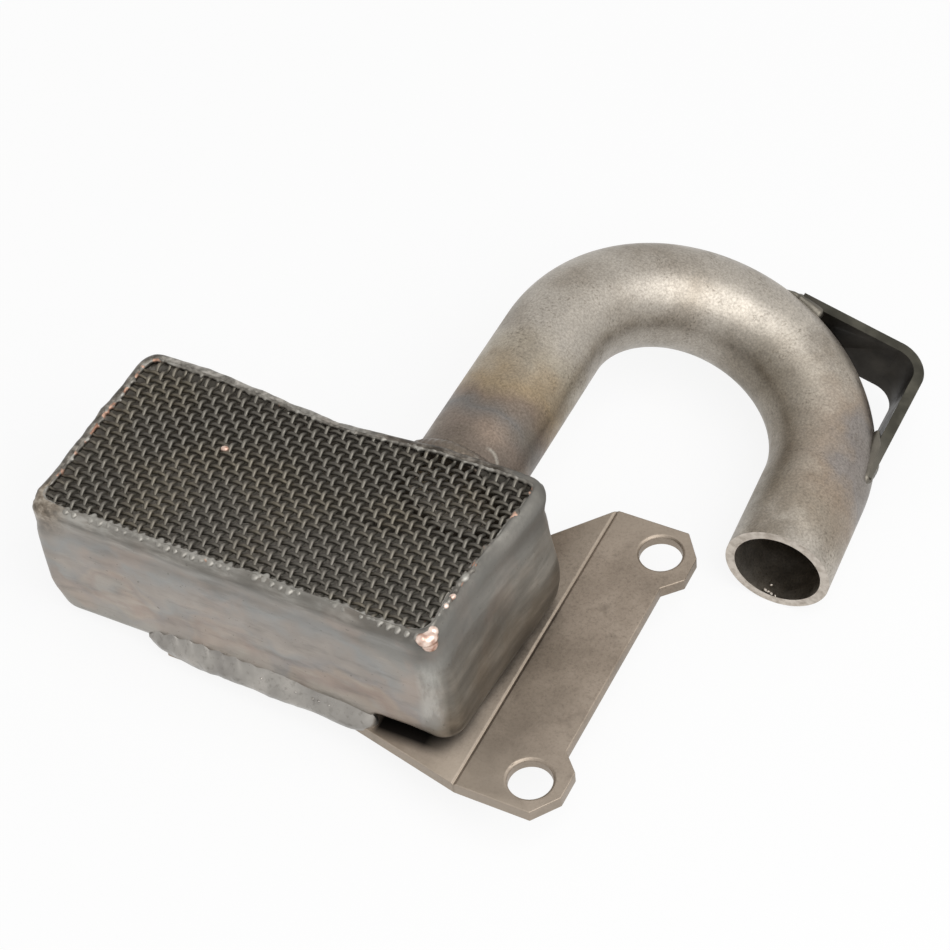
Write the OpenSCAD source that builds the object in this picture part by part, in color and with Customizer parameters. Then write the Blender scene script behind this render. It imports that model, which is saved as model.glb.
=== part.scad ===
// Oil pickup: a drawn sheet box with a woven screen, a bent suction tube and a two-hole mounting plate.
// Origin midway between the two mounting holes, on the underside of the plate. The screen faces +Z.

/* [Box] */
// Outside length of the box, left to right
box_l = 79; // [76:0.5:100]
// Outside width of the box, front to back
box_w = 38.3; // [32:0.1:60]
// Height of the box wall
box_h = 26.7; // [26:0.1:40]
// Thickness of the box sheet
box_wall = 1.5; // [1.2:0.1:2]
// Outside radius of the upright corners
box_corner_r = 5; // [4.6:0.1:7]
// Outside radius of the rolled bottom edge
box_edge_r = 4; // [2.5:0.1:4.6]
// From the line of the mounting holes to the right wall of the box
box_setback = 11.8; // [11.4:0.1:18]
// From midway between the holes to the back wall of the box
box_back = 12; // [6:0.1:20]

/* [Screen] */
// Distance from one strand to the next
screen_pitch = 4.7; // [4.6:0.1:9]
// Width of one strand
strand_w = 1.9; // [1:0.1:3]
// Thickness of the screen
screen_t = 0.8; // [0.6:0.1:1]
// Rise of the strand that crosses on top
strand_rise = 0.3; // [0.1:0.05:0.4]
// Gap between the end of a raised strand and the strand that it dips under
strand_gap = 0.1; // [0.05:0.05:0.3]
// Wall top left bare outside the edge of the screen
screen_inset = 0.9; // [0.5:0.1:1]

/* [Tube] */
// Outside diameter of the tube
tube_od = 19.05; // [14:0.05:19.5]
// Wall of the tube
tube_wall = 1.65; // [1:0.05:3]
// From the right wall of the box to the tube axis
leg_inset = 20; // [18:0.1:30]
// From the top of the box wall down to the tube axis
leg_drop = 10.7; // [10.2:0.1:12]
// Straight length from the box to the bend
leg_l = 38.7; // [30:0.1:60]
// Radius of the bend at the tube axis
bend_r = 26.6; // [22:0.1:40]
// Angle that the tube is bent through
bend_angle = 177; // [150:1:180]
// Roll of the bend about the straight leg, free end downwards
bend_roll = 21.6; // [0:0.1:25]
// Straight length after the bend
end_l = 19; // [10:0.1:40]
// Reduction of the free end to its fitting size, on the radius
end_sizing = 0.025; // [0.01:0.005:0.2]
// Gap round the tube in the box wall
port_gap = 0.1; // [0.05:0.05:0.3]

/* [Plate] */
// Thickness of the mounting plate
plate_t = 2.5; // [2:0.1:4]
// Width of the plate across both ears
plate_w = 63.5; // [63:0.1:80]
// Distance between the two mounting holes
hole_spacing = 51.5; // [48:0.1:52]
// Diameter of the mounting holes
hole_d = 7.5; // [5:0.1:8]
// Broken edge of the mounting holes
hole_break = 0.4; // [0.1:0.1:0.6]
// From the line of the holes to the outer edge of the ears
ear_reach = 6.2; // [6:0.1:10]
// From the line of the holes to the edge between the ears
waist_reach = 3.1; // [0:0.1:4]
// From the hole to the inner end of the ear's outer edge
ear_inner = 4; // [3:0.1:6]
// From the hole to the outer end of the ear's outer edge
ear_outer = 1.3; // [1:0.1:3]
// Slope of the ear down to the waist, along the plate
ear_slope = 3.2; // [1:0.1:6]
// Corner cut off the end of an ear, towards the box
ear_cut = 3.5; // [1:0.1:4]
// From the line of the holes to the scored bend line
score_setback = 11; // [9:0.1:11.2]
// Width of the score
score_w = 0.7; // [0.3:0.1:1]
// From the line of the holes to the hidden end of the tongue
tongue_reach = 69; // [60:0.5:80]
// Length of the tapered front edge of the tongue
taper_l = 25; // [15:0.5:30]
// Length of the sloping back edge of the tongue, along the box
back_run = 17; // [10:0.5:30]

/* [Strap] */
// Width of the strap
strap_w = 11.6; // [8:0.1:14]
// Height of the strap's middle above the plane of the bend
strap_lift = 1; // [-1:0.1:2]
// Thickness of the strap
strap_t = 2; // [1:0.1:2.6]
// Outside radius of the strap's corner
strap_bend_r = 6; // [3:0.1:8]
// Depth of the crown leg's outer face inside the bend's outer radius
crown_sink = 0.1; // [0:0.1:1]
// Depth of the side leg's outer face inside the bend's outer radius
side_sink = 2.1; // [0.5:0.1:3]
// Lean of the crown leg towards the tube
crown_lean = 4.4; // [0:0.1:8]
// Metal dressed off each face of the crown leg
crown_dress = 0.02; // [0.01:0.01:0.1]
// End of the crown leg, past the bend centre
crown_end = 8; // [7:0.1:10]
// End of the side leg, past the bend centre
side_end = 5; // [4:0.1:7]

/* [Welds] */
// Half width of the braze along the rim of the screen
braze_r = 1.45; // [1.2:0.05:2]
// Leg of the fillet weld round the tube
tube_weld_leg = 3; // [2:0.1:3.5]
// Radius of the welds along the plate
plate_weld_r = 3.2; // [2.8:0.1:3.6]
// Depth of the centre of the plate welds inside the box wall
plate_weld_in = 1; // [0.5:0.1:1.5]
// Length of the front plate weld, without its round ends
front_weld_l = 36.5; // [20:0.5:40]
// Length of the back plate weld, without its round ends
back_weld_l = 18; // [10:0.5:20]
// Height of the strap welds above the tube
strap_weld_t = 1.5; // [1:0.1:2]
// Half width of the strap welds
strap_weld_r = 2.6; // [2:0.1:3]
// Length of the strap welds along the strap, without their round ends
strap_weld_l = 5; // [3:0.1:8]

/* [Hidden] */
$fn = 96;
// Overrun of a cut past the face that it opens
past = 1;

tube_r = tube_od / 2;
end_r = tube_r - end_sizing;
bend_out_r = bend_r + tube_r;
box_front = box_back - box_w;
box_right = -box_setback;
box_mid = [box_right - box_l / 2, box_back - box_w / 2, plate_t];
wall_top = plate_t + box_h;
leg_x = box_right - leg_inset;
leg_z = wall_top - leg_drop;
braze_toe = braze_r + sqrt(braze_r * braze_r - screen_t * screen_t);
gaps_x = floor((box_l - 2 * braze_toe) / screen_pitch);
gaps_y = floor((box_w - 2 * braze_toe) / screen_pitch);
gap = screen_pitch - strand_w;
hole_y = hole_spacing / 2;
crown_face = bend_out_r - crown_sink;
side_face = bend_out_r - side_sink;

// Sweeps a profile round a rounded rectangle; the profile's x runs outwards from the corner's axis
module around(l, w, r) {
    for (side = [0, 1], turn = [0, 180]) {
        run = side == 0 ? l : w;
        across = side == 0 ? w : l;
        rotate([0, 0, turn + side * 90]) translate([run / 2 - r, r - across / 2, 0])
            rotate([90, 0, -90]) linear_extrude(run - 2 * r) children();
    }
    for (quarter = [0 : 3]) {
        sx = quarter == 0 || quarter == 3 ? 1 : -1;
        sy = quarter < 2 ? 1 : -1;
        translate([sx * (l / 2 - r), sy * (w / 2 - r), 0])
            rotate([0, 0, quarter * 90]) rotate_extrude(angle = 90) children();
    }
}

module rounded_rect(l, w, r) {
    square([l - 2 * r, w], center = true);
    square([l, w - 2 * r], center = true);
    for (sx = [-1, 1], sy = [-1, 1])
        translate([sx * (l / 2 - r), sy * (w / 2 - r)]) circle(r);
}

// Section from the corner's axis to the wall face, with its lower outside corner rounded
module rolled_section(r, edge, h) {
    translate([0, edge]) square([r, h - edge]);
    square([r - edge, edge]);
    translate([r - edge, edge]) intersection() {
        circle(edge);
        translate([0, -edge]) square(edge);
    }
}

module box_section() {
    difference() {
        rolled_section(box_corner_r, box_edge_r, box_h);
        translate([0, box_wall])
            rolled_section(box_corner_r - box_wall, box_edge_r - box_wall, box_h);
    }
}

// The box as a solid, which shapes the welds along its bottom edge
module box_outside() {
    translate(box_mid) {
        around(box_l, box_w, box_corner_r) rolled_section(box_corner_r, box_edge_r, box_h);
        translate([box_corner_r - box_l / 2, box_corner_r - box_w / 2, 0])
            cube([box_l - 2 * box_corner_r, box_w - 2 * box_corner_r, box_h]);
    }
}

module pickup_box() {
    color("#97928a") difference() {
        translate(box_mid) {
            around(box_l, box_w, box_corner_r) box_section();
            translate([box_corner_r - box_l / 2, box_corner_r - box_w / 2, 0])
                cube([box_l - 2 * box_corner_r, box_w - 2 * box_corner_r, box_wall]);
        }
        translate([leg_x, box_back + past, leg_z])
            rotate([90, 0, 0]) cylinder(r = tube_r + port_gap, h = box_wall + 2 * past);
    }
}

// The raised part of a strand, along X, between the two strands that it dips under
module raised_crossing() {
    foot = strand_w / 2;
    reach = screen_pitch - foot - strand_gap;
    crest = strand_w / 4;
    translate([-reach, 0, 0]) rotate([90, 0, 90]) linear_extrude(2 * reach)
        polygon([[-foot, 0], [foot, 0], [crest, strand_rise], [-crest, strand_rise]]);
}

module wire_screen() {
    color("#6f6a60") translate([box_mid.x, box_mid.y, wall_top]) {
        linear_extrude(screen_t) difference() {
            rounded_rect(box_l - 2 * screen_inset, box_w - 2 * screen_inset, box_corner_r - screen_inset);
            for (i = [1 : gaps_x], j = [1 : gaps_y])
                translate([(i - (gaps_x + 1) / 2) * screen_pitch, (j - (gaps_y + 1) / 2) * screen_pitch])
                    square(gap, center = true);
        }
        for (i = [1 : gaps_x - 1], j = [1 : gaps_y - 1])
            translate([(i - gaps_x / 2) * screen_pitch, (j - gaps_y / 2) * screen_pitch, screen_t])
                rotate([0, 0, (i + j) % 2 * 90]) raised_crossing();
    }
}

module screen_braze() {
    color("#a8a29a") translate([box_mid.x, box_mid.y, wall_top])
        around(box_l, box_w, box_corner_r) translate([box_corner_r - braze_r, 0]) difference() {
            circle(braze_r);
            translate([-2 * braze_r, -2 * braze_r]) square([4 * braze_r, 2 * braze_r]);
            translate([-2 * braze_r, -past]) square([3 * braze_r - screen_inset, screen_t + past]);
        }
}

// Frame of the bend's centre, with X towards the strap's side leg and Y towards its crown leg
module at_bend_centre() {
    translate([leg_x, box_back + leg_l, leg_z]) rotate([0, bend_roll, 0])
        translate([bend_r, 0, 0]) children();
}

// The bend, of the section that is drawn about the tube's axis
module bend() {
    at_bend_centre() mirror([1, 0, 0])
        rotate_extrude(angle = bend_angle) translate([bend_r, 0]) children();
}

module ring(r) {
    difference() {
        circle(r);
        circle(r - tube_wall);
    }
}

module suction_tube() {
    color("#a8a196") {
        bend() ring(tube_r);
        at_bend_centre() mirror([1, 0, 0]) translate([bend_r, 0, 0])
            rotate([90, 0, 0]) linear_extrude(leg_l + box_wall) ring(tube_r);
        at_bend_centre() mirror([1, 0, 0]) rotate([0, 0, bend_angle]) translate([bend_r, 0, 0])
            rotate([-90, 0, 0]) linear_extrude(end_l) ring(end_r);
    }
}

module tube_weld() {
    color("#8d867d") difference() {
        translate([leg_x, box_back, leg_z]) rotate([-90, 0, 0])
            rotate_extrude() translate([tube_r, 0]) intersection() {
                circle(tube_weld_leg);
                square(tube_weld_leg);
            }
        translate([leg_x - 2 * tube_od, box_back - past, wall_top])
            cube([4 * tube_od, tube_weld_leg + 2 * past, tube_od]);
    }
}

// Outline of one ear, from the waist to the scored line, on the side of sign s
function ear(s) = [
    [waist_reach, s * (hole_y - ear_inner - ear_slope)],
    [ear_reach, s * (hole_y - ear_inner)],
    [ear_reach, s * (hole_y + ear_outer)],
    [ear_reach - ear_cut, s * plate_w / 2],
    [-score_setback, s * plate_w / 2]
];

function tongue() = [
    [-score_setback - back_run, box_back],
    [-tongue_reach, box_back],
    [-tongue_reach, box_front],
    [-score_setback - taper_l, box_front]
];

function reversed(points) = [for (i = [len(points) - 1 : -1 : 0]) points[i]];

module mounting_plate() {
    color("#9b9184") difference() {
        linear_extrude(plate_t) polygon(concat(ear(1), tongue(), reversed(ear(-1))));
        for (s = [-1, 1]) translate([0, s * hole_y, 0]) {
            translate([0, 0, -past]) cylinder(d = hole_d, h = plate_t + 2 * past);
            for (face = [0, 1]) translate([0, 0, face * plate_t]) mirror([0, 0, face])
                cylinder(d1 = hole_d + 2 * hole_break, d2 = hole_d, h = hole_break);
        }
        translate([-score_setback, 0, plate_t]) rotate([0, 45, 0])
            cube([score_w / sqrt(2), plate_w + 2 * past, score_w / sqrt(2)], center = true);
    }
}

// A weld of length l along the bottom edge of the box at the wall y, towards the side of sign s
module plate_weld(l, y, s) {
    difference() {
        translate([plate_weld_r - tongue_reach, y - s * plate_weld_in, plate_t]) {
            rotate([0, 90, 0]) cylinder(r = plate_weld_r, h = l);
            sphere(plate_weld_r);
            translate([l, 0, 0]) sphere(plate_weld_r);
        }
        box_outside();
        mounting_plate();
        translate([-2 * tongue_reach, y - 2 * plate_weld_r, -4 * plate_weld_r])
            cube([2 * tongue_reach, 4 * plate_weld_r, 4 * plate_weld_r]);
    }
}

module front_plate_weld() {
    color("#a39d93") plate_weld(front_weld_l, box_front, -1);
}

module back_plate_weld() {
    color("#a39d93") plate_weld(back_weld_l, box_back, 1);
}

// The strap seen along its width: two legs and the bent corner between them
module strap_outline() {
    corner = [side_face - strap_bend_r, crown_face - strap_bend_r];
    lap = sqrt(strap_bend_r * crown_dress);
    translate([side_face - strap_t, side_end]) square([strap_t, corner.y - side_end]);
    translate(corner) {
        rotate(crown_lean) translate([crown_end - corner.x, strap_bend_r - strap_t + crown_dress])
            square([corner.x - crown_end + lap, strap_t - 2 * crown_dress]);
        intersection() {
            difference() {
                circle(strap_bend_r);
                circle(strap_bend_r - strap_t);
            }
            translate([-2 * strap_bend_r, 0]) square(4 * strap_bend_r);
            rotate(crown_lean) translate([0, -2 * strap_bend_r]) square(4 * strap_bend_r);
        }
    }
}

module at_strap() {
    at_bend_centre() translate([0, 0, strap_lift]) children();
}

module strap_blank() {
    at_strap() linear_extrude(strap_w, center = true) strap_outline();
}

module support_strap() {
    color("#5d5850") difference() {
        strap_blank();
        bend() circle(tube_r);
    }
}

// A weld that hugs the tube round an end of the strap, from a point of the bend's plane
module strap_weld(from, turn) {
    difference() {
        intersection() {
            bend() circle(tube_r + strap_weld_t);
            at_strap() linear_extrude(strap_w + 2 * strap_weld_t, center = true)
                translate(from) rotate(turn) {
                    circle(strap_weld_r);
                    translate([strap_weld_l, 0]) circle(strap_weld_r);
                    translate([0, -strap_weld_r]) square([strap_weld_l, 2 * strap_weld_r]);
                }
        }
        bend() circle(tube_r);
        strap_blank();
    }
}

module strap_crown_weld() {
    color("#8d867d") strap_weld([crown_end, crown_face - strap_t / 2], 0);
}

module strap_side_weld() {
    color("#8d867d") strap_weld([side_face - strap_t / 2, side_end], 90);
}

pickup_box();
wire_screen();
screen_braze();
suction_tube();
tube_weld();
mounting_plate();
front_plate_weld();
back_plate_weld();
support_strap();
strap_crown_weld();
strap_side_weld();
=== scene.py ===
"""Looks of a welded oil pickup: drawn box, woven screen, bent tube, strap and bolt plate."""
import math
import random

import bmesh
import bpy
from mathutils import Matrix, Vector, noise
from mathutils.bvhtree import BVHTree


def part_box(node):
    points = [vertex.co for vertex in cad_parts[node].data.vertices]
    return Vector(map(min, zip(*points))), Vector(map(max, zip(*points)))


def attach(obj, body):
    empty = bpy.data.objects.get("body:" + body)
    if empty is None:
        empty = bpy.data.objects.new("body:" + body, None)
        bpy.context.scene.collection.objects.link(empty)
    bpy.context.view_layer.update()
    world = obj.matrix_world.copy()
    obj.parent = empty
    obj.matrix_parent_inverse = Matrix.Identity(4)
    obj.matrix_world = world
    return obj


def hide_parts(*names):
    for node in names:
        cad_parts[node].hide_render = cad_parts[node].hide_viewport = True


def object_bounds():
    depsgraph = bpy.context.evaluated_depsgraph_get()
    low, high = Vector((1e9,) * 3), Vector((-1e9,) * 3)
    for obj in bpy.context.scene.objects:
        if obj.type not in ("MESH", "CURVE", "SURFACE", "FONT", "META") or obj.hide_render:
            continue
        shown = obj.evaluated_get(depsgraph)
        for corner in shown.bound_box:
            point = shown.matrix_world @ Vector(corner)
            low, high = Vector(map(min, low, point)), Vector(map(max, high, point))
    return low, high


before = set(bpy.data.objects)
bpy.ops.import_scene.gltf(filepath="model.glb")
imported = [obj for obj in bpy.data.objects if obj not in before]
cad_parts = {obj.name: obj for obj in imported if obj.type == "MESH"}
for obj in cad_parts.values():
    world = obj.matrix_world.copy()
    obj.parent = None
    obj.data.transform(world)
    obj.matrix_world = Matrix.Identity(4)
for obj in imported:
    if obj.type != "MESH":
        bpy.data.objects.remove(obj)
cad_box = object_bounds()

MM = 0.001
scene = bpy.context.scene
chance = random.Random(11)

# Where the photograph was taken from, in millimetres
CAMERA_AT = Vector((124.50, -231.55, 344.51))


# Small helpers


def srgb(red, green, blue):
    """A colour read off a screen, 0 to 255, as the linear colour that a shader takes."""
    def linear(c):
        c /= 255
        return c / 12.92 if c <= 0.04045 else ((c + 0.055) / 1.055) ** 2.4
    return (linear(red), linear(green), linear(blue), 1.0)


def ease(low, high, value):
    """0 below low, 1 above high and a smooth step between."""
    t = min(1.0, max(0.0, (value - low) / (high - low)))
    return t * t * (3 - 2 * t)


def bell(value, middle, width):
    """1 at the middle, fading out to both sides within about two widths."""
    return math.exp(-((value - middle) / width) ** 2)


def waver(point, length, seed=0.0):
    """Smooth unevenness from -1 to 1 that repeats about every length, in the point's own units."""
    return noise.noise(Vector(point) / length + Vector((seed, 2 * seed, -seed)))


def cad_size(node):
    """Lowest and highest corner of a CAD node in millimetres."""
    low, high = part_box(node)
    return low / MM, high / MM


def finish_piece(name, bm, finishes, stands_for=(), sharp=None):
    """Turns a bmesh in millimetres into a piece that rides on the part."""
    bmesh.ops.scale(bm, vec=(MM, MM, MM), verts=bm.verts)
    mesh = bpy.data.meshes.new(name)
    bm.to_mesh(mesh)
    bm.free()
    mesh.shade_smooth()
    if sharp is not None:
        mesh.set_sharp_from_angle(angle=math.radians(sharp))
    piece = bpy.data.objects.new(name, mesh)
    scene.collection.objects.link(piece)
    for finish in finishes:
        mesh.materials.append(finish)
    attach(piece, "root")
    if stands_for:
        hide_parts(*stands_for)
    return piece


def bake_modifiers(piece):
    """Replaces a piece's mesh by what its modifiers make of it."""
    graph = bpy.context.evaluated_depsgraph_get()
    mesh = bpy.data.meshes.new_from_object(piece.evaluated_get(graph))
    mesh.name = piece.name
    piece.modifiers.clear()
    piece.data = mesh


def copy_of_node(node):
    """A merged copy of a CAD node's mesh, as a bmesh in millimetres."""
    bm = bmesh.new()
    bm.from_mesh(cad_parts[node].data)
    bmesh.ops.scale(bm, vec=(1 / MM,) * 3, verts=bm.verts)
    bmesh.ops.remove_doubles(bm, verts=bm.verts, dist=0.001)
    return bm


# Sizes, in millimetres


# Box and rim
BOX_LOW, BOX_HIGH = cad_size("pickup_box")
BRAZE_ABOVE_RIM = 0.15
RIM_TOP = cad_size("screen_braze")[1].z - BRAZE_ABOVE_RIM
SHEET = 1.3
LIP = 2.3
CORNER_R = 4.2
FOOT_R = 3.2

# How far the box is out of true
RIGHT_LEAN = 1.2
RIGHT_LEAN_AT_RIM = 1.7
RIGHT_BULGE = 1.3
RIGHT_DRAWN_IN = 1.2
FRONT_LEAN = 0.7
LIP_NARROWED = 0.9
BACK_END_OUT = 0.7
BACK_DENT = 1.7
BACK_DENT_X = -53
RIM_WAVE = 0.4
WALL_WAVE = 0.3
RIM_ROLL = 0.55
RIM_ROLL_Z = 28.6
GROOVE = 0.3
GROOVE_Z = 24.7
FOOT_LIFT = 1.6
FOOT_SINKS_BACK = 0.9
CORNER_BULGE = 0.9

# Tube, and the plane that its bend lies in
TUBE_R = 9.465
TUBE_WALL = 1.65
PORT_X = BOX_HIGH.x - 20.0
PORT_Z = BOX_HIGH.z - 10.7
PORT_R = TUBE_R - 1.2
LEG_L = 38.7
LEG_IN_WALL = 1.5
END_L = 19.0
MOUTH_Y = 33.2
BEND_R = 26.6
BEND_TURN = math.radians(177)
BEND_ROLL = math.radians(21.6)
BEND_NORMAL = Vector((math.sin(BEND_ROLL), 0, math.cos(BEND_ROLL)))
BEND_FRAME = (Matrix.Translation((PORT_X, BOX_HIGH.y + LEG_L, PORT_Z))
              @ Matrix.Rotation(BEND_ROLL, 4, "Y")
              @ Matrix.Translation((BEND_R, 0, 0)))
BEND_MIDDLE = BEND_FRAME.translation

# Screen
PITCH = 1.641
WIRE_R = 0.35
WIRE_WOBBLE = 0.06
CROSS_CRIMP = 0.26
LENGTH_CRIMP = 0.42
SCREEN_Z = 29.5
TUCK = 0.35

# Melted rim: the lumps along the lip and the drips on its front
RIM_LUMP = 0.42
RIM_LUMP_SINK = 0.45
DRIP_OUT = 0.15
DRIP_SINK = 0.51
DRIP_WIDER = 1.6
DRIP_LONGER = 0.5

# Welds, those on the strap in the bend's frame
COLLAR_LUMPS = 56
COLLAR_LUMP = (1.5, 2.1, 1.5)
CROWN_FACE = 33.8
CROWN_LEAN = math.radians(4.4)
CROWN_BEAD_X = 7.4
SIDE_FACE = 33.9
FRONT_WELD_X = (-72.0, -27.8)
BACK_WELD_X = (-58.0, -38.0)
PLATE_WELD_Z = 3.5
PLATE_WELD_OUT = 2.2
PLATE_WELD_UP = 3.7
PLATE_WELD_DOWN = 2.9
PLATE_WELD_SLOPE = 0.9


# Finishes


class Finish:
    """A metal finish made of nodes on the piece's own coordinates."""

    def __init__(self, name, roughness, metallic):
        self.material = bpy.data.materials.new(name)
        self.material.use_nodes = True
        self.tree = self.material.node_tree
        self.shader = self.tree.nodes["Principled BSDF"]
        self.shader.inputs["Roughness"].default_value = roughness
        self.shader.inputs["Metallic"].default_value = metallic
        self.place = self.add("ShaderNodeTexCoord").outputs["Object"]
        axes = self.add("ShaderNodeSeparateXYZ", {0: self.place})
        self.x, self.y, self.z = axes.outputs

    def add(self, kind, inputs=None, **settings):
        node = self.tree.nodes.new(kind)
        for key, value in settings.items():
            setattr(node, key, value)
        for key, value in (inputs or {}).items():
            if isinstance(value, bpy.types.NodeSocket):
                self.tree.links.new(value, node.inputs[key])
            else:
                node.inputs[key].default_value = value
        return node

    def math(self, operation, a, b=0.0):
        return self.add("ShaderNodeMath", {0: a, 1: b}, operation=operation).outputs[0]

    def times(self, a, b):
        return self.math("MULTIPLY", a, b)

    def grain(self, size_mm, detail=2.0, rough=0.5, place=None):
        """Noise of about that size, from 0 to 1."""
        return self.add("ShaderNodeTexNoise", {
            "Vector": place or self.place,
            "Scale": 1 / (size_mm * MM),
            "Detail": detail,
            "Roughness": rough,
        }).outputs[0]

    def wander(self, size_mm, detail, reach):
        """Noise of about that size that swings by half the reach to either side of 0."""
        return self.times(self.math("SUBTRACT", self.grain(size_mm, detail), 0.5), reach)

    def stretched(self, scale):
        """The piece's own coordinates, scaled along each axis, for noise drawn out into streaks."""
        return self.add("ShaderNodeMapping", {0: self.place, "Scale": scale}).outputs[0]

    def distance(self, point):
        """How far a place is from a point, in metres."""
        node = self.add("ShaderNodeVectorMath", {0: self.place, 1: point}, operation="DISTANCE")
        return node.outputs["Value"]

    def spread(self, value, low, high, to_low=0.0, to_high=1.0, smooth=False):
        """Stretches a value from one range to another, held at the ends."""
        kind = "SMOOTHSTEP" if smooth else "LINEAR"
        return self.add("ShaderNodeMapRange", {
            "Value": value, "From Min": low, "From Max": high, "To Min": to_low, "To Max": to_high,
        }, interpolation_type=kind).outputs[0]

    def ramp(self, value, stops):
        """Colours along a value: stops are (place, colour)."""
        node = self.add("ShaderNodeValToRGB", {0: value})
        bar = node.color_ramp
        while len(bar.elements) < len(stops):
            bar.elements.new(0.5)
        for element, (spot, colour) in zip(bar.elements, stops):
            element.position = spot
            element.color = colour
        return node.outputs[0]

    def mix(self, share, under, over, blend="MIX"):
        node = self.add("ShaderNodeMix", {0: share, 6: under, 7: over}, data_type="RGBA", blend_type=blend)
        return node.outputs[2]

    def colour(self, value):
        self.tree.links.new(value, self.shader.inputs["Base Color"])

    def roughness(self, value):
        self.tree.links.new(value, self.shader.inputs["Roughness"])

    def bump(self, height, depth_mm, strength):
        node = self.add("ShaderNodeBump", {
            "Height": height, "Distance": depth_mm * MM, "Strength": strength,
        })
        self.tree.links.new(node.outputs[0], self.shader.inputs["Normal"])


# Painted highlights on the tube's leg, in metres
PINK_HIGHLIGHT_AT = (-0.0280, 0.0202, 0.0272)
HIGHLIGHT_SPOT_AT = (-0.0335, 0.0138, 0.0279)
HIGHLIGHT_ARC_AT = (-0.0266, 0.0143, 0.0265)
HIGHLIGHT_ARC_R = 0.0028


def blasted_tube(side_weld, bend_centre):
    """Blasted tube: fine speckle, soft stains and heat colours that run out from the weld at the box."""
    f = Finish("blasted_tube", 0.42, 0.92)
    along = f.math("ADD", f.y, f.wander(9, 2.0, 0.012))
    heat = f.ramp(f.spread(along, 0.012, 0.052), [
        (0.00, srgb(104, 95, 87)), (0.10, srgb(108, 98, 89)), (0.20, srgb(124, 112, 102)),
        (0.30, srgb(112, 108, 104)), (0.41, srgb(124, 110, 97)), (0.52, srgb(150, 133, 108)),
        (0.66, srgb(162, 153, 138)), (0.85, srgb(167, 160, 150)),
    ])
    near_box = f.spread(f.x, -0.012, -0.002, 1.0, 0.0, smooth=True)
    base = f.mix(near_box, srgb(168, 161, 151), heat)
    stain = f.spread(f.grain(14, 4.0), 0.42, 0.68, smooth=True)
    past_leg = f.spread(f.x, -0.012, 0.004, 0.6, 0.7)
    base = f.mix(f.times(stain, past_leg), base, srgb(121, 111, 97))
    worn = f.spread(f.grain(8, 4.0), 0.52, 0.68, smooth=True)
    worn = f.times(worn, f.spread(f.x, -0.006, 0.004))
    base = f.mix(f.times(worn, 0.5), base, srgb(188, 180, 168))

    # Painted highlights on the leg by the box: a pinkish patch, a spot and a curved arc
    pink_highlight = f.math("ADD", f.distance(PINK_HIGHLIGHT_AT), f.times(f.grain(2.5, 3.0), 0.002))
    base = f.mix(f.spread(pink_highlight, 0.001, 0.0055, 0.2, 0.0, smooth=True), base, srgb(184, 160, 138))
    base = f.mix(f.spread(f.distance(HIGHLIGHT_SPOT_AT), 0.0006, 0.0014, 0.6, 0.0), base, srgb(186, 178, 166))
    arc = f.math("ABSOLUTE", f.math("SUBTRACT", f.distance(HIGHLIGHT_ARC_AT), HIGHLIGHT_ARC_R))
    arc = f.times(f.spread(arc, 0.0001, 0.0005, 0.45, 0.0), f.spread(f.x, -0.0275, -0.0265))
    base = f.mix(arc, base, srgb(178, 174, 164))

    # Heat colours round the strap's side weld, painted shade inside the bend and clusters of dark specks
    warmth = f.math("ADD", f.distance(side_weld), f.wander(6, 3.0, 0.012))
    tint = f.ramp(f.spread(warmth, 0.004, 0.024), [
        (0.0, srgb(122, 116, 110)), (0.3, srgb(128, 122, 119)),
        (0.5, srgb(146, 128, 110)), (0.8, srgb(160, 147, 130)),
    ])
    base = f.mix(f.spread(warmth, 0.01, 0.026, 0.75, 0.0), base, tint)
    # Painted shade: darker towards the inner side of the bend
    bend_shade = f.spread(f.distance(bend_centre), 0.020, 0.0265, 0.6, 0.0, smooth=True)
    bend_shade = f.times(bend_shade, f.spread(f.x, -0.012, 0.002))
    base = f.mix(bend_shade, base, srgb(124, 117, 105))
    cluster = f.spread(f.grain(5, 3.0), 0.45, 0.65)
    cluster = f.times(cluster, f.spread(f.grain(0.55, 2.0), 0.56, 0.66))
    base = f.mix(f.times(cluster, 0.45), base, srgb(88, 78, 66))
    speck = f.grain(0.42, 3.0, 0.7)
    shade = f.ramp(speck, [(0.3, (0.63, 0.63, 0.63, 1)), (0.7, (0.37, 0.37, 0.37, 1))])
    f.colour(f.mix(1.0, base, shade, "OVERLAY"))
    f.roughness(f.spread(f.grain(2.5, 3.0), 0.3, 0.7, 0.34, 0.5))
    f.bump(speck, 0.04, 0.4)
    return f.material


def cut_ring():
    """The saw-cut end of the tube, brighter than its skin."""
    f = Finish("cut_ring", 0.4, 0.85)
    f.colour(f.ramp(f.grain(1.2, 3.0), [(0.3, srgb(168, 158, 146)), (0.6, srgb(206, 197, 186))]))
    f.bump(f.grain(0.35, 2.0), 0.04, 0.5)
    return f.material


def dark_bore():
    """Bore darker than the skin as painted shade inside the tube, with a few bright specks, lighter by the
    box.
    """
    f = Finish("dark_bore", 0.5, 0.3)
    bore_mottle = f.grain(5, 4.0)
    # Painted shade: the bore's tones are darker than the tube's skin
    base = f.ramp(bore_mottle, [(0.3, srgb(104, 97, 95)), (0.75, srgb(146, 138, 135))])
    by_box = f.spread(f.x, -0.02, -0.015, 1.0, 0.0)
    by_box = f.times(by_box, f.spread(f.y, 0.03, 0.045, 1.0, 0.0))
    base = f.mix(by_box, base, srgb(236, 228, 216))
    f.colour(f.mix(f.spread(f.grain(0.9, 1.0), 0.76, 0.8), base, srgb(150, 140, 130)))
    f.roughness(f.spread(bore_mottle, 0.3, 0.7, 0.4, 0.7))
    return f.material


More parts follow.
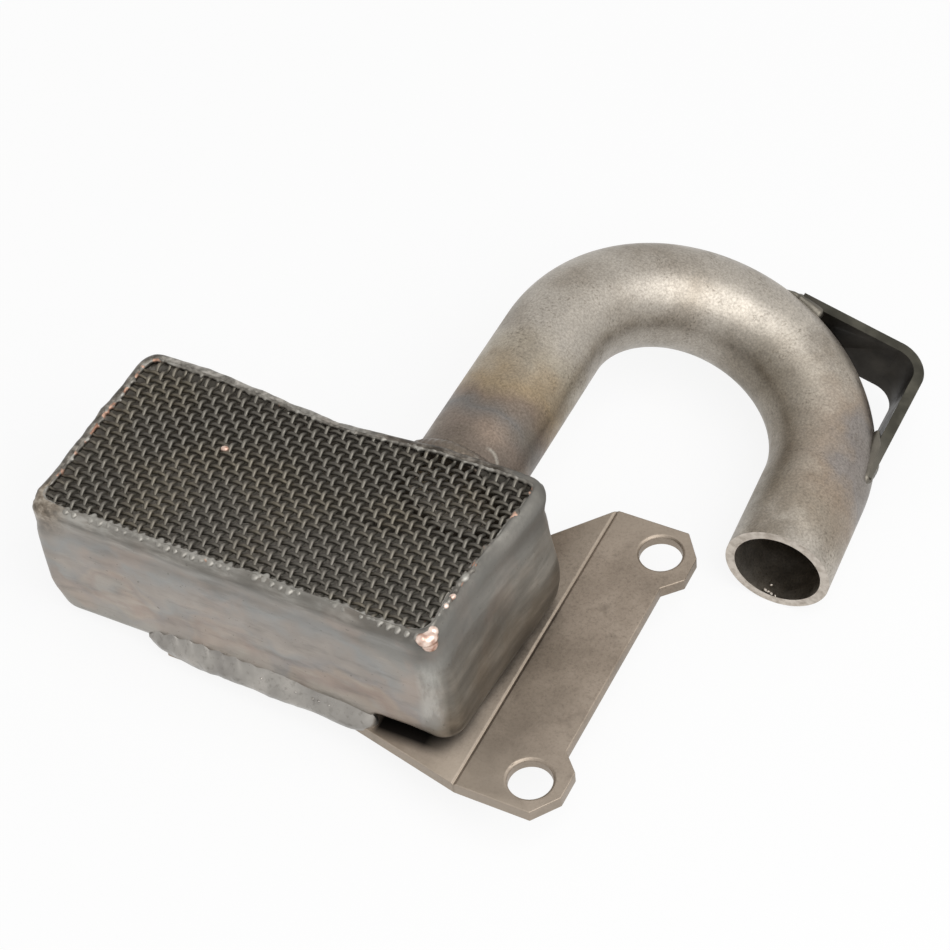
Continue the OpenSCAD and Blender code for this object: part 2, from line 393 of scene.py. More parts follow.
def halo(f, base, x_mm, z_mm, reach_mm, share):
    """Oxide colours in rings round a spot of the front wall that was hot."""
    aside = f.math("SUBTRACT", f.x, x_mm * MM)
    above = f.times(f.math("SUBTRACT", f.z, z_mm * MM), 1.3)
    squares = f.math("ADD", f.times(aside, aside), f.times(above, above))
    away = f.math("ADD", f.math("SQRT", squares), f.wander(7, 3.0, 0.012))
    rings = f.spread(away, 0.0, reach_mm * MM)
    tint = f.ramp(rings, [
        (0.00, srgb(158, 152, 144)), (0.35, srgb(172, 160, 146)), (0.52, srgb(146, 127, 116)),
        (0.66, srgb(166, 152, 138)), (0.78, srgb(140, 138, 138)), (1.00, srgb(158, 152, 145)),
    ])
    on_front = f.spread(f.y, -0.022, -0.018, 1.0, 0.0)
    return f.mix(f.times(f.spread(rings, 0.75, 1.0, share, 0.0), on_front), base, tint)


# The rim's front left corner, in metres
LEFT_CORNER_AT = (-0.0885, -0.0245, 0.029)


def weld_heat(f, brushed):
    """Faint oxide colours in bands round the plate weld and in rings round hot spots, then brushed."""
    past = f.math("MAXIMUM", f.math("ADD", f.x, 0.037), 0.0)
    above = f.math("SUBTRACT", f.z, 0.003)
    squares = f.math("ADD", f.times(past, past), f.times(above, above))
    from_weld = f.math("ADD", f.math("SQRT", squares), f.wander(9, 3.0, 0.016))
    base = f.ramp(f.spread(from_weld, 0.0, 0.026), [
        (0.00, srgb(156, 152, 145)), (0.18, srgb(164, 158, 150)), (0.30, srgb(166, 157, 149)),
        (0.38, srgb(157, 147, 139)), (0.45, srgb(159, 157, 153)), (0.54, srgb(168, 160, 152)),
        (0.64, srgb(158, 151, 144)), (0.74, srgb(155, 154, 151)), (0.86, srgb(158, 152, 145)),
        (1.00, srgb(148, 146, 141)),
    ])
    straw = f.spread(f.grain(8, 3.0), 0.5, 0.66, 0.0, 0.45, smooth=True)
    base = f.mix(straw, base, srgb(176, 158, 145))
    base = halo(f, base, -76.5, 13.5, 11, 0.32)
    base = halo(f, base, -55.0, 10.0, 12, 0.25)
    base = halo(f, base, -31.5, 4.0, 18, 0.5)
    streak = f.grain(3.0, 4.0, 0.65, brushed)
    base = f.mix(f.spread(streak, 0.52, 0.74, 0.0, 0.45), base, srgb(112, 109, 104))
    return f.mix(f.spread(streak, 0.26, 0.42, 0.4, 0.0), base, srgb(184, 177, 167))


def rim_tones(f, base, brushed, crumbs, lip, front):
    """The rim: rubbed in front, dusty on the right, ashy at the back, singed on the left."""
    rubbed = f.ramp(f.grain(2.2, 4.0, 0.6, brushed), [
        (0.36, srgb(108, 104, 97)), (0.5, srgb(136, 132, 125)), (0.64, srgb(174, 171, 164))])
    smoky = f.spread(f.grain(9, 3.0), 0.38, 0.6, 0.25, 0.8, smooth=True)
    rubbed = f.mix(f.times(smoky, f.spread(f.x, -0.068, -0.045)), rubbed, srgb(92, 88, 81))
    base = f.mix(f.times(f.times(lip, front), 0.75), base, rubbed)
    right_lip = f.times(f.spread(f.z, 0.0285, 0.0297), f.spread(f.x, -0.0215, -0.019))
    dusty = f.ramp(crumbs, [
        (0.36, srgb(76, 72, 65)), (0.5, srgb(112, 107, 99)), (0.64, srgb(160, 154, 144))])
    base = f.mix(f.times(right_lip, 0.7), base, dusty)
    top = f.spread(f.z, 0.0272, 0.029)
    ashy = f.ramp(crumbs, [
        (0.36, srgb(96, 92, 86)), (0.5, srgb(134, 130, 123)), (0.66, srgb(176, 171, 163))])
    sooty = f.ramp(crumbs, [
        (0.36, srgb(66, 61, 55)), (0.5, srgb(90, 84, 77)), (0.7, srgb(136, 129, 120))])
    back_tone = f.mix(f.spread(f.x, -0.048, -0.042), ashy, sooty)
    base = f.mix(f.times(top, f.spread(f.y, 0.0082, 0.0102)), base, back_tone)
    singed = f.ramp(crumbs, [
        (0.36, srgb(76, 72, 66)), (0.5, srgb(108, 103, 96)), (0.66, srgb(150, 144, 135))])
    base = f.mix(f.times(top, f.spread(f.x, -0.0878, -0.086, 1.0, 0.0)), base, singed)
    tan = f.ramp(crumbs, [
        (0.36, srgb(100, 91, 80)), (0.5, srgb(138, 126, 112)), (0.64, srgb(174, 164, 150))])
    return f.mix(f.spread(f.distance(LEFT_CORNER_AT), 0.003, 0.006, 0.75, 0.0), base, tan)


def end_wall_tones(f, base, front, shoulder):
    """The left end in darker streaks, painted shade in the groove under the lip, the right wall dull and
    darkest low down, partly scorch and partly painted shade, and a painted highlight down its front
    corner.
    """
    left = f.spread(f.x, -0.0908, -0.0865, 0.4, 0.0)
    upright = f.grain(3.0, 5.0, 0.65, f.stretched((1, 1, 0.35)))
    left_streaks = f.ramp(upright, [
        (0.36, srgb(104, 100, 94)), (0.5, srgb(124, 120, 114)), (0.64, srgb(148, 144, 137))])
    base = f.mix(f.times(left, f.spread(f.z, 0.024, 0.027, 1.0, 0.0)), base, left_streaks)
    # Painted shade in the groove under the lip
    from_groove = f.math("ABSOLUTE", f.math("SUBTRACT", f.z, GROOVE_Z * MM))
    groove = f.spread(from_groove, 0.0, 0.0020, 0.5, 0.0)
    base = f.mix(f.times(groove, f.grain(7, 2.0)), base, srgb(84, 80, 75))
    # The right wall: dull and streaky, darkest near the bottom; partly scorch, partly painted shade
    scorch_and_shade = f.times(f.spread(f.x, -0.0156, -0.0142), f.spread(f.z, 0.003, 0.024, 1.0, 0.55))
    dull = f.ramp(f.grain(4.0, 4.0, 0.55, f.stretched((1, 0.2, 1))), [
        (0.36, srgb(94, 91, 85)), (0.5, srgb(122, 119, 112)), (0.64, srgb(154, 150, 142))])
    dull = f.mix(f.spread(f.z, 0.003, 0.013, 0.55, 0.0), dull, srgb(62, 57, 51))
    base = f.mix(scorch_and_shade, base, dull)
    base = f.mix(f.times(shoulder, 0.75), base, srgb(112, 110, 105))
    # Painted highlight: a pale upright band down the front right corner
    corner_highlight = f.spread(f.math("ABSOLUTE", f.math("ADD", f.x, 0.0166)), 0.001, 0.0024, 0.65, 0.0)
    corner_highlight = f.times(f.times(corner_highlight, front), f.spread(f.z, 0.021, 0.025, 1.0, 0.0))
    pale = f.ramp(upright, [(0.42, srgb(150, 147, 140)), (0.58, srgb(190, 187, 180))])
    return f.mix(corner_highlight, base, pale)


def heat_tinted_sheet():
    """Satin sheet: oxide colours, rim and walls in their own tones, pits, and painted shade under the
    lifted foot.
    """
    f = Finish("heat_tinted_sheet", 0.36, 0.95)
    brushed = f.stretched((0.3, 1.0, 1.3))
    crumbs = f.grain(1.4, 4.0, 0.6)
    lip = f.spread(f.z, 0.0258, 0.0284)
    front = f.spread(f.y, -0.0235, -0.0215, 1.0, 0.0)
    shoulder = f.times(f.spread(f.x, -0.0215, -0.018), f.spread(f.z, 0.022, 0.027))
    base = weld_heat(f, brushed)
    base = rim_tones(f, base, brushed, crumbs, lip, front)
    base = end_wall_tones(f, base, front, shoulder)
    pits = f.spread(f.grain(0.7, 2.0), 0.7, 0.76)
    base = f.mix(f.times(pits, 0.4), base, srgb(70, 66, 62))
    # Painted shade, near black, under the lifted front right foot
    under = f.times(f.spread(f.z, 0.0042, 0.0058, 1.0, 0.0), f.spread(f.x, -0.0285, -0.0272))
    f.colour(f.mix(under, base, srgb(26, 24, 22)))
    satin = f.spread(f.grain(6, 3.0), 0.3, 0.7, 0.3, 0.48)
    f.roughness(f.math("ADD", satin, f.times(shoulder, 0.12)))
    f.bump(f.math("ADD", f.grain(2.0, 4.0, 0.6), f.times(lip, crumbs)), 0.14, 0.5)
    return f.material


def dark_inside():
    """The inside of the box, seen through the screen."""
    f = Finish("dark_inside", 0.6, 0.2)
    f.colour(f.ramp(f.grain(6, 3.0), [(0.3, srgb(158, 152, 143)), (0.75, srgb(186, 179, 169))]))
    return f.material


def brazed_rim():
    """Molten rim metal: grey with copper-coloured spots, most of them on the left and on the right."""
    f = Finish("brazed_rim", 0.4, 0.9)
    grey = f.ramp(f.grain(2.5, 3.0), [
        (0.32, srgb(88, 84, 78)), (0.5, srgb(124, 120, 113)), (0.68, srgb(164, 161, 154))])
    front = f.spread(f.y, -0.0225, -0.0205, 0.6, 0.0)
    grey = f.mix(front, grey, srgb(160, 157, 150))
    left = f.spread(f.x, -0.0895, -0.084, 0.42, 0.0)
    right = f.spread(f.x, -0.021, -0.017, 0.0, 0.22)
    spots = f.math("ADD", f.spread(f.grain(2.0, 2.0), 0.42, 0.78), f.math("ADD", left, right))
    tone = f.ramp(f.grain(1.2, 2.0), [(0.35, srgb(148, 112, 94)), (0.7, srgb(206, 172, 152))])
    f.colour(f.mix(f.spread(spots, 0.66, 0.86, smooth=True), grey, tone))
    f.roughness(f.spread(f.grain(2.0, 2.0), 0.3, 0.7, 0.42, 0.62))
    f.bump(f.grain(0.9, 3.0), 0.12, 0.5)
    return f.material


def copper_blob():
    """Copper-coloured braze; its pale pinkish-white tone is partly a painted highlight."""
    f = Finish("copper_blob", 0.3, 0.8)
    f.colour(f.ramp(f.grain(1.6, 2.0), [(0.32, srgb(172, 132, 114)), (0.6, srgb(244, 222, 208))]))
    f.bump(f.grain(0.8, 2.0), 0.1, 0.5)
    return f.material


def screen_wire(name, plain, worn):
    """Drawn wire with a warm cast in places."""
    f = Finish(name, 0.45, 0.65)
    warm = f.spread(f.grain(16, 2.0), 0.42, 0.65, smooth=True)
    base = f.mix(f.times(warm, 0.25), plain, srgb(128, 116, 92))
    f.colour(f.mix(f.spread(f.grain(1.2, 3.0), 0.4, 0.7, 0.0, 0.7), base, worn))
    f.roughness(f.spread(f.grain(0.8, 2.0), 0.3, 0.7, 0.32, 0.52))
    return f.material


def mill_plate():
    """Rolled plate: warm grey, mottled, with a fine tooth, a scored line by a lighter strip, painted light
    towards the front and a painted shadow under the box's lifted foot.
    """
    f = Finish("mill_plate", 0.46, 0.9)
    cloud = f.grain(9, 5.0, 0.6)
    base = f.ramp(cloud, [
        (0.28, srgb(132, 120, 107)), (0.5, srgb(151, 138, 124)), (0.72, srgb(168, 155, 141))])
    strip = f.spread(f.x, -0.0165, -0.0145)
    strip = f.times(strip, f.spread(f.x, -0.0115, -0.011, 1.0, 0.0))
    base = f.mix(f.times(strip, 0.3), base, srgb(158, 148, 135))
    tooth = f.grain(0.45, 3.0, 0.7)
    base = f.mix(f.spread(tooth, 0.48, 0.8, 0.0, 0.55), base, srgb(92, 82, 72))
    base = f.mix(f.spread(tooth, 0.22, 0.42, 0.4, 0.0), base, srgb(168, 160, 149))
    stain = f.spread(f.grain(4.0, 3.0), 0.6, 0.78, smooth=True)
    base = f.mix(f.times(stain, 0.4), base, srgb(86, 76, 66))
    # Painted light: the plate lighter towards its front edge
    base = f.mix(f.spread(f.y, -0.022, 0.0, 0.3, 0.0), base, srgb(172, 160, 147))
    ears = f.spread(f.math("ABSOLUTE", f.y), 0.020, 0.030, 0.0, 0.45)
    base = f.mix(ears, base, srgb(170, 158, 144))
    line = f.spread(f.math("ABSOLUTE", f.math("ADD", f.x, 0.011)), 0.0001, 0.0003, 0.5, 0.0)
    base = f.mix(line, base, srgb(140, 128, 115))
    # Painted shadow on the plate in the gap under the box's lifted front right foot
    foot_shadow_x = f.times(f.spread(f.x, -0.0285, -0.0274), f.spread(f.x, -0.019, -0.014, 1.0, 0.0))
    foot_shadow_y = f.times(f.spread(f.y, -0.0284, -0.0264), f.spread(f.y, -0.02, -0.018, 1.0, 0.0))
    base = f.mix(f.times(foot_shadow_x, foot_shadow_y), base, srgb(34, 30, 27))
    f.colour(base)
    f.roughness(f.spread(cloud, 0.3, 0.7, 0.4, 0.56))
    f.bump(tooth, 0.04, 0.4)
    return f.material


def dark_strap(crown_spot, side_spot):
    """Strap with rubbed edges and near-black faces, paler by its welds."""
    f = Finish("dark_strap", 0.45, 0.85)
    facing = f.add("ShaderNodeTexCoord").outputs["Normal"]
    edge = f.add("ShaderNodeVectorMath", {0: facing, 1: BEND_NORMAL}, operation="DOT_PRODUCT")
    rubbed = f.spread(f.math("ABSOLUTE", edge.outputs["Value"]), 0.45, 0.8)
    mottle = f.grain(5, 4.0)
    face = f.ramp(mottle, [(0.3, srgb(38, 35, 31)), (0.75, srgb(60, 56, 50))])
    rim = f.ramp(mottle, [(0.3, srgb(46, 44, 38)), (0.55, srgb(66, 64, 56)), (0.78, srgb(90, 87, 77))])
    base = f.mix(rubbed, face, rim)
    base = f.mix(f.spread(f.distance(crown_spot), 0.004, 0.007, 0.5, 0.0), base, srgb(104, 98, 89))
    f.colour(f.mix(f.spread(f.distance(side_spot), 0.006, 0.01, 0.6, 0.0), base, srgb(114, 110, 101)))
    f.roughness(f.spread(f.grain(3, 2.0), 0.3, 0.7, 0.38, 0.56))
    f.bump(f.grain(0.8, 3.0), 0.05, 0.4)
    return f.material


def weld_metal(name, dark, plain, pale):
    """Weld bead in three drifting tones, with darker crumbs."""
    f = Finish(name, 0.34, 0.92)
    base = f.ramp(f.grain(5, 3.0), [(0.3, dark), (0.55, plain), (0.8, pale)])
    base = f.mix(f.spread(f.grain(0.9, 3.0), 0.55, 0.8, 0.0, 0.5), base, srgb(92, 88, 82))
    f.colour(base)
    f.roughness(f.spread(f.grain(1.6, 2.0), 0.3, 0.7, 0.26, 0.46))
    f.bump(f.grain(0.7, 3.0), 0.06, 0.4)
    return f.material


CROWN_SPOT = sum(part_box("strap_crown_weld"), Vector()) / 2
SIDE_SPOT = sum(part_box("strap_side_weld"), Vector()) / 2

BOX_STEEL = heat_tinted_sheet()
INSIDE = dark_inside()
BRAZE = brazed_rim()
COPPER = copper_blob()
# One wire metal in two tones: the cross wires are painted darker than the length wires, as shade
SHADED_CROSS_WIRE = screen_wire("shaded_cross_wire", srgb(86, 82, 75), srgb(68, 64, 58))
LENGTH_WIRE = screen_wire("length_wire", srgb(116, 112, 104), srgb(92, 88, 81))
TUBE_STEEL = blasted_tube(SIDE_SPOT, BEND_MIDDLE * MM)
CUT_RING = cut_ring()
BORE = dark_bore()
PLATE_STEEL = mill_plate()
STRAP_STEEL = dark_strap(CROWN_SPOT, SIDE_SPOT)
WELD = weld_metal("weld_metal", srgb(142, 138, 133), srgb(160, 156, 150), srgb(180, 175, 168))
STRAP_WELD = weld_metal("strap_weld", srgb(94, 90, 82), srgb(110, 105, 96), srgb(126, 120, 111))


# The box


def bevel(bm, edges, offset, segments):
    """Rounds edges to a radius."""
    bmesh.ops.bevel(bm, geom=edges, offset=offset, offset_type="OFFSET", segments=segments,
                    profile=0.5, affect="EDGES", material=-1)


def slice_along(bm, axis, low, high, step):
    """Cuts the faces across an axis at even steps, so that they can be pushed about."""
    normal = Vector((0, 0, 0))
    normal[axis] = 1
    count = int((high - low) / step)
    for i in range(1, count):
        spot = normal * (low + (high - low) * i / count)
        bmesh.ops.bisect_plane(bm, geom=bm.verts[:] + bm.edges[:] + bm.faces[:], dist=1e-4,
                               plane_co=spot, plane_no=normal)


def hand_formed(p):
    """Where a point of the straight-sided box ends up on the hand-formed one."""
    x, y, z = p
    q = Vector(p)
    rim = ease(20, 28, z)
    at_right = ease(BOX_HIGH.x - 16, BOX_HIGH.x - 1, x)
    at_front = ease(BOX_LOW.y + 6, BOX_LOW.y + 1, y)
    at_back = ease(BOX_HIGH.y - 6, BOX_HIGH.y - 1, y)

    # The right wall leans in, most in front, and bulges low down at the back; the front wall leans in too
    lean = RIGHT_LEAN * ease(5, 26, z) + RIGHT_LEAN_AT_RIM * ease(22, 30, z) ** 2
    q.x -= lean * at_right * (1.1 - 0.8 * ease(-14, 9, y))
    q.x += RIGHT_BULGE * bell(z, 11, 6) * ease(-6, 9, y) * ease(BOX_HIGH.x - 4, BOX_HIGH.x, x)
    q.x -= RIGHT_DRAWN_IN * at_right * (1 - ease(-20, 6, y))
    q.y += FRONT_LEAN * ease(23, 30, z) * at_front

    # The lip is narrowed, on each side by its own share
    inner = ease(RIM_TOP - 1.2, RIM_TOP, z)
    q.x -= LIP_NARROWED * inner * ease(BOX_LOW.x + 6, BOX_LOW.x + 2.5, x)
    q.y += LIP_NARROWED * inner * at_back
    over = ease(RIM_TOP - LIP, RIM_TOP - LIP + 1, z)
    to_right = min(LIP, BOX_HIGH.x - x) * ease(BOX_HIGH.x - CORNER_R, BOX_HIGH.x - LIP, x)
    q.x += 0.72 * over * to_right * (1 - 0.65 * ease(-14, 4, y))
    to_front = min(LIP, y - BOX_LOW.y) * ease(BOX_LOW.y + CORNER_R, BOX_LOW.y + LIP, y)
    q.y -= 0.55 * over * to_front * ease(BOX_LOW.x + 1, BOX_LOW.x + 6, x)

    # The back rim is dented, the rim and walls wave, and a groove runs under the rolled rim
    q.y += (BACK_END_OUT * ease(-68, -84, x) - BACK_DENT * bell(x, BACK_DENT_X, 13)) * at_back * rim
    from_middle_x = x - (BOX_LOW.x + BOX_HIGH.x) / 2
    from_middle_y = y - (BOX_LOW.y + BOX_HIGH.y) / 2
    out = Vector((from_middle_x, from_middle_y * 2, 0)).normalized()
    q += out * (RIM_WAVE * rim * waver((x, y, 0), 7, 3) + WALL_WAVE * waver((x, y, z), 16, 5))
    q.z += rim * (0.25 * waver((x, y, 0), 6, 8) - 0.1)
    q += out * inner * (0.22 * waver((x, y, 0), 2.2, 12) + 0.1 * waver((x, y, 0), 1.1, 14))
    q += out * (RIM_ROLL * bell(z, RIM_ROLL_Z, 1.2) - GROOVE * bell(z, GROOVE_Z, 1.2))

    # The foot is lifted past the front weld, and the front left corner bulges but stays in the CAD box
    lift = FOOT_LIFT * ease(-29.5, -27.5, x) - FOOT_SINKS_BACK * ease(-22, -13, x)
    q.z += lift * ease(-18, -24, y) * (1 - ease(3, 10, z))
    at_corner = bell(x, BOX_LOW.x + 1.2, 3) * bell(y, BOX_LOW.y + 1.2, 3)
    bulge = Vector((CORNER_BULGE, CORNER_BULGE, 0))
    q -= bulge * at_corner * ease(4, 11, z) * (1 - 0.5 * ease(25, 30, z))
    q.x = max(q.x, BOX_LOW.x + 0.02)
    return q


def sheet_box():
    """The drawn box: a straight tub with rolled edges, then pushed out of true like the real one."""
    bm = bmesh.new()
    bmesh.ops.create_cube(bm, size=1)
    span = Vector((BOX_HIGH.x - BOX_LOW.x, BOX_HIGH.y - BOX_LOW.y, RIM_TOP - BOX_LOW.z))
    bmesh.ops.scale(bm, vec=span, verts=bm.verts)
    bmesh.ops.translate(bm, vec=BOX_LOW + span / 2, verts=bm.verts)
    bevel(bm, [e for e in bm.edges if abs(e.verts[0].co.z - e.verts[1].co.z) > 1], CORNER_R, 10)
    bevel(bm, [e for e in bm.edges if all(v.co.z < BOX_LOW.z + 0.01 for v in e.verts)], FOOT_R, 8)
    bevel(bm, [e for e in bm.edges if all(v.co.z > RIM_TOP - 0.01 for v in e.verts)], LIP, 8)
    lid = [f for f in bm.faces if f.normal.z > 0.99 and f.calc_center_median().z > RIM_TOP - 0.01]
    bmesh.ops.delete(bm, geom=lid, context="FACES_ONLY")
    past_corner = 5
    slice_along(bm, 0, BOX_LOW.x + past_corner, BOX_HIGH.x - past_corner, 1.1)
    slice_along(bm, 1, BOX_LOW.y + past_corner, BOX_HIGH.y - past_corner, 1.1)
    slice_along(bm, 2, BOX_LOW.z + FOOT_R, RIM_TOP - LIP, 1.6)
    for v in bm.verts:
        v.co = hand_formed(v.co)
    bmesh.ops.recalc_face_normals(bm, faces=bm.faces)
    return bm


def cut_port(piece):
    """Opens the back wall for the tube."""
    bm = bmesh.new()
    turn = Matrix.Translation((PORT_X, BOX_HIGH.y, PORT_Z)) @ Matrix.Rotation(math.pi / 2, 4, "X")
    bmesh.ops.create_cone(bm, cap_ends=True, segments=64, radius1=PORT_R, radius2=PORT_R, depth=8,
                          matrix=turn)
    bmesh.ops.scale(bm, vec=(MM, MM, MM), verts=bm.verts)
    mesh = bpy.data.meshes.new("port_cutter")
    bm.to_mesh(mesh)
    bm.free()
    cutter = bpy.data.objects.new("port_cutter", mesh)
    scene.collection.objects.link(cutter)
    cut = piece.modifiers.new("port", "BOOLEAN")
    cut.object = cutter
    cut.operation = "DIFFERENCE"
    cut.solver = "EXACT"
    bake_modifiers(piece)
    bpy.data.objects.remove(cutter)
    bpy.data.meshes.remove(mesh)


def round_the_lip(p):
    """Angle of a point about the middle of the screen, to put the lip's points in order."""
    middle_x, middle_y = -52, -7.15
    return math.atan2(p.y - middle_y, (p.x - middle_x) * 0.5)


tub = sheet_box()
lip_edge = sorted((v.co.copy() for v in tub.verts if v.is_boundary), key=round_the_lip)
box = finish_piece("sheet_box", tub, [BOX_STEEL, INSIDE], ["pickup_box"])
wall = box.modifiers.new("sheet", "SOLIDIFY")
wall.thickness = SHEET * MM
wall.offset = -1
wall.material_offset = 1
bake_modifiers(box)
cut_port(box)
bpy.context.view_layer.update()
box_skin = BVHTree.FromObject(box, bpy.context.evaluated_depsgraph_get())


# The screen


def lip_span(along, across):
    """Where a line along X or Y at that offset passes under the lip, at its two ends."""
    inner = CORNER_R - LIP
    low = [BOX_LOW.x + LIP, BOX_LOW.y + LIP]
    high = [BOX_HIGH.x - LIP, BOX_HIGH.y - LIP]
    side = 1 - along
    into_corner = max(0.0, inner - min(across - low[side], high[side] - across))
    cut = inner - math.sqrt(max(0.0, inner * inner - into_corner * into_corner))
    ends = []
    for stop in (low[along] + cut, high[along] - cut):
        spot = [across, across, RIM_TOP]
        spot[along] = stop
        ends.append(hand_formed(spot)[along])
    return ends


def straight_rod(length, radius, segments, cuts):
    """A rod along X about the origin, cut into short lengths that can be pushed about."""
    bm = bmesh.new()
    bmesh.ops.create_cone(bm, cap_ends=True, segments=segments, radius1=radius, radius2=radius,
                          depth=length)
    sides = [e for e in bm.edges if abs(e.verts[0].co.z - e.verts[1].co.z) > length / 2]
    bmesh.ops.subdivide_edges(bm, edges=sides, cuts=cuts, use_grid_fill=True)
    bmesh.ops.rotate(bm, cent=(0, 0, 0), matrix=Matrix.Rotation(math.pi / 2, 3, "Y"), verts=bm.verts)
    return bm


def wire_lines(along):
    """The wires along X or Y: number, start and end of each."""
    side = 1 - along
    low = (BOX_LOW[side] + LIP) / PITCH
    high = (BOX_HIGH[side] - LIP) / PITCH
    for k in range(math.ceil(low), math.floor(high) + 1):
        start, end = lip_span(along, k * PITCH)
        while along and start < end and hand_formed((BOX_HIGH.x - LIP, start, RIM_TOP)).x < k * PITCH:
            start += 0.1
        if end - start > PITCH:
            yield k, start, end


def weave(along, crimp):
    """One set of the weave's wires, each over and under the crossing ones by turns."""
    whole = bmesh.new()
    strand = bpy.data.meshes.new("strand")
    for k, start, end in wire_lines(along):
        length = end - start + 2 * TUCK
        bm = straight_rod(length, WIRE_R, 8, int(length / PITCH * 4))
        if along:
            quarter_turn = Matrix.Rotation(math.pi / 2, 3, "Z")
            bmesh.ops.rotate(bm, cent=(0, 0, 0), matrix=quarter_turn, verts=bm.verts)
        for v in bm.verts:
            v.co[along] += (start + end) / 2
            over = math.sin(math.pi * (v.co[along] / PITCH + k + 0.5 + along))
            v.co.z += SCREEN_Z + crimp * over
            wobble = WIRE_WOBBLE * waver((v.co[along], k * 7.3, along * 50), 8)
            v.co[1 - along] += k * PITCH + wobble
        bm.to_mesh(strand)
        bm.free()
        whole.from_mesh(strand)
    bpy.data.meshes.remove(strand)
    return whole


finish_piece("cross_wires", weave(0, CROSS_CRIMP), [SHADED_CROSS_WIRE], ["wire_screen"])
finish_piece("length_wires", weave(1, LENGTH_CRIMP), [LENGTH_WIRE])


def blob(bm, middle, heading, size, detail=2, within=Matrix.Identity(4)):
    """A molten lump: a ball stretched to three half-sizes and turned about Z, within another frame."""
    turn = Matrix.Rotation(heading, 4, "Z")
    place = within @ Matrix.Translation(middle) @ turn @ Matrix.Diagonal((*size, 1))
    bmesh.ops.create_icosphere(bm, subdivisions=detail, radius=1, matrix=place)


def melt_together(piece, grid_mm, rounds):
    """Makes one smooth skin of a piece's overlapping lumps."""
    remesh = piece.modifiers.new("grid", "REMESH")
    remesh.mode = "VOXEL"
    remesh.voxel_size = grid_mm * MM
    soften = piece.modifiers.new("soften", "SMOOTH")
    soften.factor = 0.5
    soften.iterations = rounds
    bake_modifiers(piece)
    piece.data.shade_smooth()


def molten_rim():
    """The lip's melted edge: a row of lumps run together, and a drop at the end of most wires."""
    bm = bmesh.new()
    for i, p in enumerate(lip_edge):
        near = lip_edge[(i + 1) % len(lip_edge)]
        size = RIM_LUMP + 0.15 * waver(p, 5, 21) + 0.08 * chance.random()
        reach = max(size, (near - p).length * 0.75)
        heading = math.atan2(near.y - p.y, near.x - p.x)
        blob(bm, p - Vector((0, 0, RIM_LUMP_SINK)), heading, (reach, size, size))
    for along in (0, 1):
        for k, start, end in wire_lines(along):
            for stop, inward in ((start, 1), (end, -1)):
                if chance.random() < 0.3:
                    continue
                spot = [k * PITCH, k * PITCH, SCREEN_Z + chance.uniform(0.25, 0.45)]
                spot[along] = stop + inward * chance.uniform(-0.1, 0.35)
                size = chance.uniform(0.3, 0.5)
                reach = chance.uniform(0.4, 0.7)
                if along == 1 and inward == 1:
                    spot[1] -= DRIP_OUT
                    spot[2] = hand_formed((k * PITCH, BOX_LOW.y + LIP, RIM_TOP)).z - DRIP_SINK
                    size *= DRIP_WIDER
                    reach += DRIP_LONGER
                blob(bm, spot, along * math.pi / 2, (reach, size, 0.45 + 0.1 * size))
    return bm


melted = finish_piece("molten_rim", molten_rim(), [BRAZE], ["screen_braze"])
melt_together(melted, 0.15, 8)


def landed(spot):
    """The point of the box that the camera sees in the direction of a spot."""
    way = (Vector(spot) - CAMERA_AT).normalized()
    return box_skin.ray_cast(CAMERA_AT * MM, way)[0] / MM


def under_top(spot, height):
    """The spot, lowered so that a lump of that half-height stays under the part's top."""
    return Vector((spot.x, spot.y, min(spot.z, cad_box[1].z / MM - 0.1 - height)))


def corner_drop():
    """The copper-coloured drop on the rim's front right corner, smaller ones by it, one on the screen."""
    bm = bmesh.new()
    for spot, heading, size in (
        ((-16.9, -24.0, 29.0), 0.9, (1.8, 1.4, 1.2)),
        ((-16.5, -22.9, 29.4), 0.4, (1.0, 0.9, 0.9)),
        ((-16.2, -24.7, 28.4), 0.2, (1.4, 1.3, 1.4)),
        ((-17.7, -24.4, 28.7), 0.2, (1.1, 1.0, 0.9)),
        ((-18.0, -21.4, 29.6), 1.3, (0.9, 0.6, 0.6)),
        ((-17.8, -20.6, 29.5), 1.7, (0.8, 0.55, 0.5)),
        ((-16.5, -15.9, 29.95), 1.2, (0.7, 0.55, 0.45)),
        ((-16.7, -17.9, 29.95), 1.2, (0.6, 0.5, 0.45)),
    ):
        blob(bm, under_top(landed(spot), size[2]), heading, size, 3)
    blob(bm, (-66.3, -2.7, 29.9), 0.3, (0.8, 0.65, 0.6))
    return bm


drop = finish_piece("corner_drop", corner_drop(), [COPPER])
melt_together(drop, 0.12, 9)


# The tube


def is_bore(face):
    """Whether a face looks at the tube's middle line, before the tube is put in its place."""
    p = face.calc_center_median()
    turn = min(BEND_TURN, max(0.0, math.atan2(p.y, -p.x)))
    heading = Matrix.Rotation(-turn, 3, "Z") @ Vector((0, 1, 0))
    middle = Matrix.Rotation(-turn, 3, "Z") @ Vector((-BEND_R, 0, 0))
    across = p - middle
    across -= heading * across.dot(heading)
    return across.length < TUBE_R - 0.6 * TUBE_WALL and abs(face.normal.dot(heading)) < 0.5


